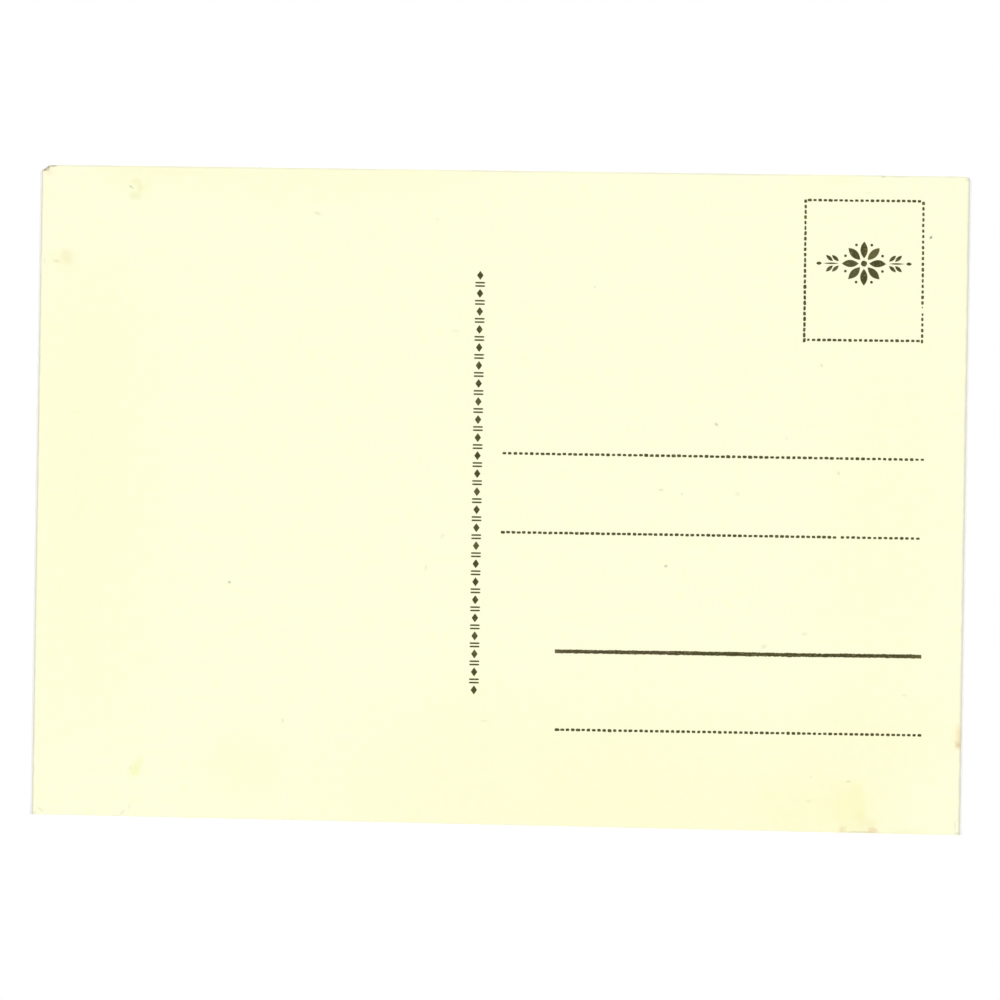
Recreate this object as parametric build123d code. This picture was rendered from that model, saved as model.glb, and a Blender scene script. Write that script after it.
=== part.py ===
from build123d import *
import os

# Picture postcard on photographic paper, lying address side up with its picture side on z = 0.
# X runs along the lines of print, Y towards the top of the address side, all sizes in millimetres.

# Sheet as trimmed: the short sides are square to the print, the long ones run a little out of square
card_length = 148.0
right_height = 105.0
left_height = 103.55
top_fall = 0.4

# Layers from the picture side up, and the ink film on the address side
emulsion_thickness = 0.015
baryta_thickness = 0.035
paper_thickness = 0.25
ink_thickness = 0.01

# Corners after years of handling: top left broken off, top right rubbed round, bottom ones hardly blunted
chip_width = 1.25
chip_height = 0.95
chip_depth = 0.08
rubbed_corner = 0.9
blunted_corner = 0.15

# One dash of dotted printer's rule
dash_length = 0.6
dash_width = 0.41
dash_blunting = 0.1

# Stamp box, set slightly turned: side to side and top to bottom between the middles of its rules
stamp_right_margin = 7.34
stamp_top_margin = 4.08
stamp_box_width = 18.78
stamp_box_height = 22.28
stamp_box_turn = 0.3
side_overrun = 0.1
left_side_drop = 0.17
right_side_drop = 0.33
corner_step = 0.65
across_dash_count = 22
left_side_dash_count = 27
right_side_dash_count = 26
faint_dash_index = 6
faint_dash_share = 0.4

# Address lines: right ends from the right edge, heights from the bottom right corner
line_1_right_margin = 6.62
line_2_right_margin = 7.16
line_3_right_margin = 6.6
line_4_right_margin = 6.42
line_1_length = 67.26
line_2_length = 66.75
line_3_length = 58.46
line_4_length = 58.38
line_1_height = 59.76
line_2_height = 47.18
line_3_height = 28.33
line_4_height = 15.83
line_1_first_dash_count = 62
line_1_second_dash_count = 16
line_2_first_dash_count = 64
line_2_second_dash_count = 15
line_4_dash_count = 70
plain_rule_width = 0.62

# Second length of the first two lines, at their right, and the gap between the end dashes where it is set on
line_1_second_length = 13.53
line_2_second_length = 12.64
line_1_gap = 0.02
line_2_gap = 0.64

# Divider: a strip of lozenges with pairs of bars between them, left of the address lines
divider_gap = 3.98
divider_rise = 2.5
divider_length = 67.55
divider_lozenge_count = 24
lozenge_length = 1.45
lozenge_width = 1.05
bar_length = 1.6
bar_width = 0.27
bar_step = 0.53

# Stamp box ornament: a rosette of petals and beads with a leaf spray on each side
ornament_rise = 1.1
eye_radius = 0.5
petal_count = 8
petal_start = 0.8
petal_length = 2.75
petal_width = 1.2
bead_ring_radius = 3.2
bead_radius = 0.23
spray_gap = 0.45
stem_length = 2.5
stem_width = 0.26
leaf_length = 1.5
leaf_width = 0.6
leaf_angle = 42
leaf_step = 0.95
leaf_clearance = 0.2
bud_length = 0.95
bud_width = 0.55

right_edge = card_length / 2
top_edge = right_height / 2
bottom_edge = -right_height / 2
paper_top = emulsion_thickness + baryta_thickness + paper_thickness


def trimmed_sheet():
    """Outline of the sheet: four straight cuts, one broken corner, three rounded ones."""
    top_right = Vector(right_edge, top_edge)
    bottom_right = Vector(right_edge, bottom_edge)
    top_left = Vector(-right_edge, top_edge - top_fall)
    bottom_left = top_left - Vector(0, left_height)
    along_top = (top_right - top_left).normalized()
    break_low = top_left - Vector(0, chip_height)
    break_high = top_left + along_top * chip_width
    inward = (break_high - break_low).normalized().rotate(Axis.Z, -90)
    break_middle = (break_low + break_high) / 2 + inward * chip_depth
    broken_edge = (break_low, break_middle, break_high)
    sheet = make_face(Polyline(*broken_edge, top_right, bottom_right, bottom_left, close=True))
    rounded = ((top_right, rubbed_corner), (bottom_right, blunted_corner), (bottom_left, blunted_corner))
    for corner, radius in rounded:
        sheet = fillet(sheet.vertices().sort_by_distance(corner)[0], radius)
    return sheet


def layer(bottom, thickness):
    """One full layer of the sheet, starting at the given height."""
    return Pos(0, 0, bottom) * extrude(trimmed_sheet(), thickness, dir=(0, 0, 1))


def printed(outlines):
    """Ink film of one printed piece: every outline becomes a separate flat solid on the paper."""
    films = [extrude(shape, ink_thickness, dir=(0, 0, 1)).solid() for shape in outlines]
    return Compound([Pos(0, 0, paper_top) * film for film in films])


def dash():
    """A single dash, its corners blunted by wear of the type metal."""
    return chamfer(Rectangle(dash_length, dash_width).vertices(), dash_blunting)


def dashed_run(first, last, count):
    """Evenly spaced dashes along X, with the middles of the end ones at the two places given."""
    step = (last - first) / (count - 1)
    mark = dash()
    return [Pos(first + step * i) * mark for i in range(count)]


def in_stamp_box(place, outlines):
    """Prints outlines that are placed from the middle of the turned stamp box."""
    centre = Pos(
        right_edge - stamp_right_margin - stamp_box_width / 2,
        top_edge - stamp_top_margin - stamp_box_height / 2,
    )
    return printed([centre * Rot(0, 0, stamp_box_turn) * place * shape for shape in outlines])


def stamp_box():
    """Dashed box: the two sides run the whole height, top and bottom fit between them."""
    half_width = stamp_box_width / 2
    half_height = stamp_box_height / 2
    across = dashed_run(corner_step - half_width, half_width - corner_step, across_dash_count)
    lowest = -half_height - side_overrun
    left_side = dashed_run(lowest, half_height - left_side_drop, left_side_dash_count)
    right_side = dashed_run(lowest, half_height - right_side_drop, right_side_dash_count)
    right_side[faint_dash_index] = scale(right_side[faint_dash_index], faint_dash_share)
    upright = Rot(0, 0, 90)
    return {
        "stamp_frame_top": in_stamp_box(Pos(0, half_height), across),
        "stamp_frame_bottom": in_stamp_box(Pos(0, -half_height), across),
        "stamp_frame_left": in_stamp_box(Pos(-half_width, 0) * upright, left_side),
        "stamp_frame_right": in_stamp_box(Pos(half_width, 0) * upright, right_side),
    }


def dotted_rule(right_margin, length, count):
    """Dashes of one length of dotted rule, which ends at the given margin from the right edge."""
    right_end = right_edge - right_margin
    return dashed_run(right_end - length + dash_length / 2, right_end - dash_length / 2, count)


def joined_rule(right_margin, length, counts, second_length, gap):
    """Dotted rule of two lengths set end to end: the first one takes what the second one leaves."""
    first = dotted_rule(right_margin + second_length + gap, length - second_length - gap, counts[0])
    second = dotted_rule(right_margin, second_length, counts[1])
    return first + second


def on_line(height, outlines):
    """Prints outlines along one address line, at its height above the bottom right corner."""
    return printed([Pos(0, bottom_edge + height) * shape for shape in outlines])


def address_lines():
    """Three dotted lines and the plain rule for the place."""
    line_1_counts = (line_1_first_dash_count, line_1_second_dash_count)
    line_2_counts = (line_2_first_dash_count, line_2_second_dash_count)
    line_1 = joined_rule(line_1_right_margin, line_1_length, line_1_counts, line_1_second_length, line_1_gap)
    line_2 = joined_rule(line_2_right_margin, line_2_length, line_2_counts, line_2_second_length, line_2_gap)
    plain_middle = right_edge - line_3_right_margin - line_3_length / 2
    plain_rule = Pos(plain_middle) * Rectangle(line_3_length, plain_rule_width)
    line_4 = dotted_rule(line_4_right_margin, line_4_length, line_4_dash_count)
    return {
        "address_line_1": on_line(line_1_height, line_1),
        "address_line_2": on_line(line_2_height, line_2),
        "address_line_3": on_line(line_3_height, [plain_rule]),
        "address_line_4": on_line(line_4_height, line_4),
    }


def divider():
    """Upright strip: lozenges at even steps, with a pair of bars in each space between two of them."""
    middle = right_edge - line_1_right_margin - line_1_length - divider_gap
    step = (divider_length - lozenge_length) / (divider_lozenge_count - 1)
    lowest = divider_rise - step * (divider_lozenge_count - 1) / 2
    corner = Vector(lozenge_width / 2, 0)
    tip = Vector(0, lozenge_length / 2)
    lozenge = make_face(Polyline(corner, tip, -corner, -tip, close=True))
    bar = Rectangle(bar_length, bar_width)
    outlines = [Pos(middle, lowest + step * i) * lozenge for i in range(divider_lozenge_count)]
    for i in range(divider_lozenge_count - 1):
        space = lowest + step * (i + 0.5)
        outlines += [Pos(middle, space + side * bar_step / 2) * bar for side in (-1, 1)]
    return printed(outlines)


def leaf(length, width):
    """Pointed leaf between two arcs, starting at the origin and lying along X."""
    tip = (length, 0)
    upper = ThreePointArc((0, 0), (length / 2, width / 2), tip)
    lower = ThreePointArc(tip, (length / 2, -width / 2), (0, 0))
    return make_face([upper, lower])


def rosette():
    """Petals round an eye, with a bead in each gap between two petals."""
    turn = 360 / petal_count
    petal = Pos(petal_start) * leaf(petal_length, petal_width)
    bead = Pos(bead_ring_radius) * Circle(bead_radius)
    petals = [Rot(0, 0, turn * i) * petal for i in range(petal_count)]
    beads = [Rot(0, 0, turn * (i + 0.5)) * bead for i in range(petal_count)]
    return [Circle(eye_radius), *petals, *beads]


def spray():
    """Stem with two pairs of leaves and a bud, growing along X beside the rosette."""
    root = petal_start + petal_length + spray_gap
    outlines = [Pos(root) * leaf(stem_length, stem_width)]
    for pair in range(2):
        for side in (-1, 1):
            foot = Pos(root + leaf_step * pair, side * (stem_width / 2 + leaf_clearance))
            outlines.append(foot * Rot(0, 0, side * leaf_angle) * leaf(leaf_length, leaf_width))
    outlines.append(Pos(root + stem_length + leaf_clearance) * leaf(bud_length, bud_width))
    return outlines


def stamp_ornament():
    """The rosette and its two sprays, a little above the middle of the stamp box."""
    outlines = rosette() + spray() + [Rot(0, 0, 180) * shape for shape in spray()]
    return in_stamp_box(Pos(0, ornament_rise), outlines)


nodes = {
    "emulsion_layer": layer(0, emulsion_thickness),
    "baryta_coat": layer(emulsion_thickness, baryta_thickness),
    "paper_base": layer(emulsion_thickness + baryta_thickness, paper_thickness),
    **stamp_box(),
    **address_lines(),
    "divider_ornament": divider(),
    "stamp_ornament": stamp_ornament(),
}

os.makedirs("parts", exist_ok=True)
for name, shape in nodes.items():
    shape.label = name
    export_step(shape, f"parts/{name}.step")
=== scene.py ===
import bpy
import numpy as np
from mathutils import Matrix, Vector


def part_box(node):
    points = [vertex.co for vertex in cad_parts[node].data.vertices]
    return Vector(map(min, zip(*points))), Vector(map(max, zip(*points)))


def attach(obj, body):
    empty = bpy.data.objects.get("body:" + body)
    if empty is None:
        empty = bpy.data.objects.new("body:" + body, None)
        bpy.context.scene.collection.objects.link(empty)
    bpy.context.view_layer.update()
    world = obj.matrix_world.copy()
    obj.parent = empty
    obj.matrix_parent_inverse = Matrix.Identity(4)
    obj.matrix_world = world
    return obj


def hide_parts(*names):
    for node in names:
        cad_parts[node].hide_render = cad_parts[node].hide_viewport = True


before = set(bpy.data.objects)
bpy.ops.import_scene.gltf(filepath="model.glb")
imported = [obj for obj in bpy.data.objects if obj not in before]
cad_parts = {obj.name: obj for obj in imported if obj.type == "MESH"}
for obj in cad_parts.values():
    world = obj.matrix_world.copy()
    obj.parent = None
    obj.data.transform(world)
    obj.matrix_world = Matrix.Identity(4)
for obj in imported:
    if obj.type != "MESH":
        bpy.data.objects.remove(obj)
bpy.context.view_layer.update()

# Emulsion layer
# Hardened gelatine, poured over the undercoat and dried to a gloss while the paper was still in the roll.
# It holds a black and white view inside a plain border, and the card lies on it.
mm = 0.001
card_low, card_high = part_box("paper_base")
card_length = card_high.x - card_low.x
card_height = card_high.y - card_low.y
top_left_fall = 0.40 * mm
bottom_left_rise = 1.05 * mm
broken_corner = np.array((1.25, 0.95)) * mm
break_bow = 0.10
break_raggedness = 0.04
break_waves = (11, 19)
rubbed_corner = np.array((0.90, 0.90)) * mm
blunted_corner = np.array((0.15, 0.15)) * mm
crease_softness = 0.15 * mm
sharp_edge = np.radians(35)

# The grid of each layer: its steps at the rim and in the field, and the radius of its arris
coat_grid = (0.03 * mm, 2.5 * mm, 0.004 * mm)


def broken_radius(angle):
    """What is left of the broken corner along a ray at this angle, in shares of the corner's field.

    A straight break has a radius of 1 over the sum of the angle's cosine and sine. It is bowed in towards
    its middle, where two quick sine waves also make it ragged.
    """
    straight = 1 / (np.cos(angle) + np.sin(angle))
    quick, quicker = break_waves
    ragged = break_raggedness * (np.sin(quick * angle) + np.sin(quicker * angle + 1))
    return straight * (1 - (break_bow + ragged) * np.sin(2 * angle))


def rounded_radius(angle):
    """A rounded corner keeps the full radius along every ray, which makes it a quarter circle."""
    return np.ones_like(angle)


# Each corner: on the right, at the top, size of its field, radius kept in it
worn_corners = (
    (False, True, broken_corner, broken_radius),
    (True, True, rubbed_corner, rounded_radius),
    (True, False, blunted_corner, rounded_radius),
    (False, False, blunted_corner, rounded_radius),
)

# Each bent corner: both ends of its crease, and its slope; it lies to the right of the way between them
bent_corners = (
    (np.array((-74.0, -49.6)) * mm, np.array((-71.3, -51.4)) * mm, 0.10),
    (np.array((73.0, -52.5)) * mm, np.array((74.1, -51.5)) * mm, 0.22),
)


def stations(length, finest, coarsest, growth=1.5):
    """Places from 0 to length: the steps grow by one factor from both ends until they are coarse enough."""
    ramp = finest * growth ** np.arange(np.ceil(np.log(coarsest / finest) / np.log(growth)))
    middle = length - 2 * ramp.sum()
    evens = np.ones(int(np.ceil(middle / coarsest)))
    steps = np.concatenate([ramp, evens * middle / evens.size, ramp[::-1]])
    return np.concatenate([[0.0], np.cumsum(steps)])


def drawn_in(across, up, field, radius):
    """Moves the points of a corner's field along rays from the field's inner corner.

    Both distances run inwards from the two edges. A ray that ended on the square outline ends at the
    radius for its angle instead, and points along it move in proportion.
    """
    towards = np.clip(1 - across / field[0], 0, 1)
    upwards = np.clip(1 - up / field[1], 0, 1)
    inside = (towards > 0) & (upwards > 0)
    reach = np.where(inside, np.hypot(towards, upwards), 1)
    square = np.maximum(towards, upwards) / reach
    moved = np.where(inside, 1 - radius(np.arctan2(upwards, towards)) * square, 0)
    return across + moved * towards * field[0], up + moved * upwards * field[1]


def bent_up(x, y, start, end, slope):
    """Lift of a bent corner: its slope times the distance past the crease, rounded off by a hyperbola."""
    along_x, along_y = (end - start) / np.hypot(*(end - start))
    past = (x - start[0]) * along_y - (y - start[1]) * along_x
    return slope * (past + np.hypot(past, crease_softness)) / 2


def worn_layer(bottom, top, rim_step, field_step, arris):
    """One layer of the worn card: points, faces, and distances from its sides and top in millimetres.

    Stations across and up the card, crowded at its edges, make a square grid. Its corners are drawn in,
    its sides are laid on the trimmed ones by bilinear interpolation, and the bent corners lift it.
    The upper face falls by a quarter circle of the arris radius at its rim, and a wall joins both rims.
    """
    places_across = stations(card_length, rim_step, field_step)
    places_up = stations(card_height, rim_step, field_step)
    across, up = np.meshgrid(places_across, places_up, indexing="ij")
    from_sides = np.minimum(across, card_length - across)
    from_top = card_height - up
    from_edge = np.minimum.reduce([from_sides, from_top, up])
    for on_right, at_top, field, radius in worn_corners:
        aside = card_length - across if on_right else across
        below = card_height - up if at_top else up
        aside, below = drawn_in(aside, below, field, radius)
        across = card_length - aside if on_right else aside
        up = card_height - below if at_top else below
    left_share = 1 - across / card_length
    low_side = card_low.y + bottom_left_rise * left_share
    high_side = card_high.y - top_left_fall * left_share
    x = card_low.x + across
    y = low_side + (high_side - low_side) * up / card_height
    lift = sum(bent_up(x, y, *bend) for bend in bent_corners)
    fall = arris * (1 - np.sqrt(1 - np.clip(1 - from_edge / arris, 0, 1) ** 2))
    upper_points = np.stack([x, y, top + lift - fall], axis=-1).reshape(-1, 3)
    lower_points = np.stack([x, y, bottom + lift], axis=-1).reshape(-1, 3)
    index = np.arange(x.size).reshape(x.shape)
    cells = (index[:-1, :-1], index[1:, :-1], index[1:, 1:], index[:-1, 1:])
    upper = np.stack(cells, axis=-1).reshape(-1, 4)
    rim = np.concatenate([index[:-1, 0], index[-1, :-1], index[:0:-1, -1], index[0, :0:-1]])
    next_rim = np.roll(rim, -1)
    wall = np.stack([rim, rim + x.size, next_rim + x.size, next_rim], axis=-1)
    faces = np.concatenate([upper, upper[:, ::-1] + x.size, wall])
    points = np.concatenate([upper_points, lower_points])
    from_sides, from_top = [np.tile(distance.ravel() / mm, 2) for distance in (from_sides, from_top)]
    return points, faces.tolist(), {"from_sides": from_sides, "from_top": from_top}


def new_piece(name, points, faces, finish, **measures):
    """Mesh object at the origin, smooth but for its sharp edges, with a value of each measure per point."""
    mesh = bpy.data.meshes.new(name)
    mesh.from_pydata(points.tolist(), [], faces)
    for measure, values in measures.items():
        mesh.attributes.new(measure, "FLOAT", "POINT").data.foreach_set("value", values)
    mesh.shade_smooth()
    mesh.set_sharp_from_angle(angle=sharp_edge)
    mesh.materials.append(finish)
    piece = bpy.data.objects.new(name, mesh)
    bpy.context.scene.collection.objects.link(piece)
    return piece


def node(tree, kind, inputs=(), **settings):
    """Adds a shader node and gives its outputs; an input takes a value or another node's output."""
    made = tree.nodes.new("ShaderNode" + kind)
    for setting, value in settings.items():
        setattr(made, setting, value)
    for key, value in dict(inputs).items():
        if isinstance(value, bpy.types.NodeSocket):
            tree.links.new(value, made.inputs[key])
        else:
            made.inputs[key].default_value = value
    return made.outputs


def maths(tree, operation, *values):
    """Result of one arithmetic step on one to three values."""
    return node(tree, "Math", enumerate(values), operation=operation)[0]


def eased(tree, value, start, end):
    """0 at start, 1 at end and a smooth step between them, whichever of the two is larger."""
    return node(tree, "MapRange", {0: value, 1: start, 2: end}, interpolation_type="SMOOTHSTEP")[0]


def tinted(tree, share, colour, tint, blend="MULTIPLY"):
    """Colour after a share of the tint is laid over it."""
    return node(tree, "Mix", {0: share, 6: colour, 7: tint}, data_type="RGBA", blend_type=blend)[2]


def cloud(tree, point, size, detail=2.0):
    """Soft noise from 0 to 1 with features about as large as the size, in millimetres."""
    return node(tree, "TexNoise", {"Vector": point, "Scale": 1 / size, "Detail": detail})[0]


def card_point(tree):
    """Place on the card, in millimetres."""
    place = node(tree, "TexCoord")["Object"]
    return node(tree, "VectorMath", {0: place, "Scale": 1 / mm}, operation="SCALE")[0]


def mesh_measure(tree, name):
    """Value of a measure that the mesh holds for each of its points."""
    return node(tree, "Attribute", attribute_name=name)["Fac"]


def edge_distance(tree):
    """Distance from the nearest edge of the card, in millimetres."""
    from_top = mesh_measure(tree, "from_top")
    from_bottom = maths(tree, "SUBTRACT", card_height / mm, from_top)
    from_ends = maths(tree, "MINIMUM", from_top, from_bottom)
    return maths(tree, "MINIMUM", mesh_measure(tree, "from_sides"), from_ends)


def new_group(name, output, **inputs):
    """Node group with named inputs and one output; gives its tree, its inputs and its output's socket."""
    tree = bpy.data.node_groups.new(name, "ShaderNodeTree")
    for socket, kind in inputs.items():
        tree.interface.new_socket(name=socket, in_out="INPUT", socket_type="NodeSocket" + kind)
    tree.interface.new_socket(name=output, in_out="OUTPUT", socket_type="NodeSocketFloat")
    given = tree.nodes.new("NodeGroupInput").outputs
    return tree, given, tree.nodes.new("NodeGroupOutput").inputs[output]


def placed(tree, group, **inputs):
    """Output of a node group that is placed in a material with inputs of its own."""
    return node(tree, "Group", inputs, node_tree=group)[0]


def new_finish(name):
    """Material with its node tree and the inputs of its shader."""
    finish = bpy.data.materials.new(name)
    finish.use_nodes = True
    return finish, finish.node_tree, finish.node_tree.nodes["Principled BSDF"].inputs


# Bands along the edges: grime of handling, and on the paper's sides painted shade with some soiling
rim_grime_and_shade_patch_size = 2.2
rim_grime_and_shade_full_share = 0.3


def rim_grime_and_shade_group():
    """Edge band for grime and for painted shade: full near the rim, gone at a width a cloud makes uneven
    along it.
    """
    tree, given, mask = new_group("rim_grime_and_shade", "mask", point="Vector", distance="Float", width="Float")
    uneven = maths(tree, "ADD", cloud(tree, given["point"], rim_grime_and_shade_patch_size, detail=3.0), 0.5)
    width = maths(tree, "MULTIPLY", given["width"], uneven)
    full_width = maths(tree, "MULTIPLY", width, rim_grime_and_shade_full_share)
    tree.links.new(eased(tree, given["distance"], width, full_width), mask)
    return tree


# The view on the picture side: tones from black to white, sizes and levels in millimetres
print_warmth = (1.0, 0.965, 0.88)
sky_tones = (0.70, 0.38)
sky_levels = (0.0, 48.0)
cloud_tone = 0.80
cloud_size = 9.0
cloud_stretch = (0.35, 1.0, 1.0)
cloud_contrast = (0.45, 0.75)
haze_tone = 0.60
land_contrast = (0.30, 0.70)
ridge_softness = 0.12
grain_size = 0.09
grain_tone = 0.45
grain_share = 0.16
grain_contrast = (0.2, 0.8)
border_tone = 0.88
border_width = 4.0
border_softness = 0.1

# Each range of land: tones in the light and in the shade, haze at its foot, size and shares of its texture,
# then the level, height, length and shift of its ridge
land_ranges = (
    (0.42, 0.26, 0.4, 9.0, (1.0, 1.8), -4.0, 34.0, 42.0, 3.7),
    (0.24, 0.09, 0.4, 4.0, (1.0, 1.5), -18.0, 26.0, 26.0, 8.2),
    (0.11, 0.02, 0.1, 1.6, (1.5, 0.6), -28.0, 15.0, 8.0, 1.9),
    (0.38, 0.18, 0.0, 2.4, (0.3, 1.5), -44.0, 12.0, 60.0, 5.4),
)

# Wear and gloss of the picture side
picture_grime_tint = (0.70, 0.64, 0.52, 1.0)
picture_grime_width = 0.6
picture_grime_share = 0.6
picture_grime_roughness = 0.4
gloss_roughness = 0.08
smear_roughness = 0.14
smear_size = 14.0
gelatine_wave_size = 5.0
gelatine_wave_depth = 0.02 * mm
gelatine_wave_strength = 0.3


def hill_line_group():
    """Land below a ridge, where the ridge rises over its level by noise along the picture."""
    sizes = {"level": "Float", "height": "Float", "length": "Float", "shift": "Float"}
    tree, given, mask = new_group("hill_line", "mask", point="Vector", **sizes)
    place = node(tree, "SeparateXYZ", {0: given["point"]})
    along = maths(tree, "ADD", maths(tree, "DIVIDE", place["X"], given["length"]), given["shift"])
    ridge = node(tree, "TexNoise", {"W": along, "Scale": 1.0, "Detail": 6.0}, noise_dimensions="1D")[0]
    ridge_height = maths(tree, "MULTIPLY_ADD", ridge, given["height"], given["level"])
    above = maths(tree, "SUBTRACT", place["Y"], ridge_height)
    tree.links.new(eased(tree, above, ridge_softness, -ridge_softness), mask)
    return tree


def grey(tone):
    """Warm black and white tone of the print."""
    return (*(tone * share for share in print_warmth), 1.0)


def picture_finish(rim_grime_and_shade, hill_line):
    """Glossy print: cloudy sky, hazy hills, a wood and a meadow, with fine grain and a white border."""
    finish, tree, shader = new_finish("glossy_emulsion")
    point = card_point(tree)
    from_edge = edge_distance(tree)
    height = node(tree, "SeparateXYZ", {0: point})["Y"]
    streaks = node(tree, "Mapping", {0: point, "Scale": cloud_stretch})[0]
    low_sky, high_sky = [grey(tone) for tone in sky_tones]
    sky = tinted(tree, eased(tree, height, *sky_levels), low_sky, high_sky, "MIX")
    clouds = eased(tree, cloud(tree, streaks, cloud_size, detail=5.0), *cloud_contrast)
    view = tinted(tree, clouds, sky, grey(cloud_tone), "MIX")
    for light, shade, haze, texture, shares, level, rise, length, shift in land_ranges:
        drawn = node(tree, "Mapping", {0: point, "Scale": (*shares, 1.0)})[0]
        relief = eased(tree, cloud(tree, drawn, texture, detail=9.0), *land_contrast)
        land = tinted(tree, relief, grey(shade), grey(light), "MIX")
        foot = eased(tree, height, level + rise, level)
        land = tinted(tree, maths(tree, "MULTIPLY", foot, haze), land, grey(haze_tone), "MIX")
        below = placed(tree, hill_line, point=point, level=level, height=rise, length=length, shift=shift)
        view = tinted(tree, below, view, land, "MIX")
    grain = eased(tree, cloud(tree, point, grain_size), *grain_contrast)
    view = tinted(tree, maths(tree, "MULTIPLY", grain, grain_share), view, grey(grain_tone))
    border = eased(tree, from_edge, border_width + border_softness, border_width)
    view = tinted(tree, border, view, grey(border_tone), "MIX")
    rim_band = placed(tree, rim_grime_and_shade, point=point, distance=from_edge, width=picture_grime_width)
    view = tinted(tree, maths(tree, "MULTIPLY", rim_band, picture_grime_share), view, picture_grime_tint)
    tree.links.new(view, shader["Base Color"])
    smears = cloud(tree, point, smear_size, detail=4.0)
    smeared = maths(tree, "MULTIPLY_ADD", smears, smear_roughness, gloss_roughness)
    soiled = maths(tree, "MULTIPLY", rim_band, picture_grime_roughness)
    tree.links.new(maths(tree, "ADD", smeared, soiled), shader["Roughness"])
    gelatine_waves = cloud(tree, point, gelatine_wave_size)
    relief = {"Height": gelatine_waves, "Strength": gelatine_wave_strength, "Distance": gelatine_wave_depth}
    tree.links.new(node(tree, "Bump", relief)[0], shader["Normal"])
    return finish


rim_grime_and_shade = rim_grime_and_shade_group()
emulsion_low, emulsion_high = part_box("emulsion_layer")
points, faces, distances = worn_layer(emulsion_low.z, emulsion_high.z, *coat_grid)
picture = picture_finish(rim_grime_and_shade, hill_line_group())
emulsion = new_piece("picture_emulsion", points, faces, picture, **distances)
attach(emulsion, "root")
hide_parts("emulsion_layer")

# Baryta coat
# White mineral powder in gelatine, brushed on the paper to give the emulsion a smooth bright ground.
# Between paper and emulsion, it shows only as a hairline at the trimmed edges.
chalk = (0.86, 0.85, 0.80, 1.0)
bright_chalk = (0.91, 0.90, 0.86, 1.0)
chalk_grime_tint = (0.72, 0.67, 0.57, 1.0)
chalk_grime_width = 0.4
chalk_grime_share = 0.5
chalk_roughness = 0.75
pore_roughness = 0.1
pore_size = 0.05
pore_contrast = (0.3, 0.7)


def baryta_finish():
    """Chalky white with fine pores, greyed where the edges were handled."""
    finish, tree, shader = new_finish("chalk_white_baryta")
    point = card_point(tree)
    rim_band = placed(tree, rim_grime_and_shade, point=point, distance=edge_distance(tree), width=chalk_grime_width)
    pores = eased(tree, cloud(tree, point, pore_size, detail=3.0), *pore_contrast)
    white = tinted(tree, pores, chalk, bright_chalk, "MIX")
    soiled = tinted(tree, maths(tree, "MULTIPLY", rim_band, chalk_grime_share), white, chalk_grime_tint)
    tree.links.new(soiled, shader["Base Color"])
    tree.links.new(maths(tree, "MULTIPLY_ADD", pores, pore_roughness, chalk_roughness), shader["Roughness"])
    return finish


baryta_low, baryta_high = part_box("baryta_coat")
points, faces, distances = worn_layer(baryta_low.z, baryta_high.z, *coat_grid)
baryta = new_piece("baryta_undercoat", points, faces, baryta_finish(), **distances)
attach(baryta, "root")
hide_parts("baryta_coat")

# Paper base
# Cream rag paper, cut from the roll after printing. It has yellowed in soft patches, mostly near its edges.
# Stains, scuffs and specks have gathered on the address side. Painted shade, with some soiling, darkens the
# left and right edges. The top edge is darker in patches, and painted shade marks a crease and the corners.
paper_grid = (0.008 * mm, 1.2 * mm, 0.05 * mm)
cream = (0.966, 0.969, 0.715, 1.0)
# The tint and widths below paint shade, with some soiling, inside the left and right edges, and darken the
# top edge in patches
edge_shade_and_grime_grey = (0.76, 0.74, 0.84, 1.0)
left_shade_and_grime_width = 0.31
right_shade_and_grime_width = 0.46
top_band_width = 0.36
top_band_share = 0.5
top_band_patch_size = 11.0
top_band_contrast = (0.30, 0.65)
formation_tint = (0.998, 0.996, 0.960, 1.0)
formation_size = 1.5
formation_contrast = (0.30, 0.70)
fibre_size = 0.11
fibre_stretch = (0.45, 1.0, 1.0)
felt_size = 0.7
felt_share = 0.7
paper_sheen = 0.1
paper_roughness = 0.72
paper_tooth_roughness = 0.12
paper_tooth_depth = 0.006 * mm
tooth_strength = 0.5

# The clouds that push the rims of marks about: up to which half size of a mark each serves, its own size
rim_clouds = ((0.7, 0.25), (8.0, 1.4), (np.inf, 26.0))

# Each mark: middle, half sizes and turn of its oval, raggedness, softness, tint that it multiplies in
yellowed_parts = (
    ((-66.0, 1.0), (18.0, 58.0), 0, 0.3, 1.0, (0.999, 0.994, 0.943)),
    ((20.0, -52.0), (74.0, 32.0), 0, 0.3, 1.0, (0.998, 0.989, 0.920)),
    ((52.0, -48.5), (16.0, 11.0), 0, 0.3, 1.0, (0.997, 0.988, 0.925)),
    ((62.0, -37.0), (20.0, 13.0), 0, 0.3, 1.0, (0.999, 0.995, 0.955)),
    ((-40.0, -43.0), (11.0, 8.0), 0, 0.3, 1.0, (0.999, 0.995, 0.955)),
    ((61.0, -6.0), (17.0, 48.0), 0, 0.3, 1.0, (0.999, 0.996, 0.968)),
    ((-32.0, 53.0), (46.0, 9.0), 0, 0.3, 1.0, (0.999, 0.993, 0.955)),
    ((-60.0, 51.0), (9.0, 5.0), 0, 0.3, 1.0, (0.998, 0.992, 0.945)),
    ((52.0, 53.0), (10.0, 5.0), 0, 0.3, 1.0, (0.999, 0.994, 0.950)),
)
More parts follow.
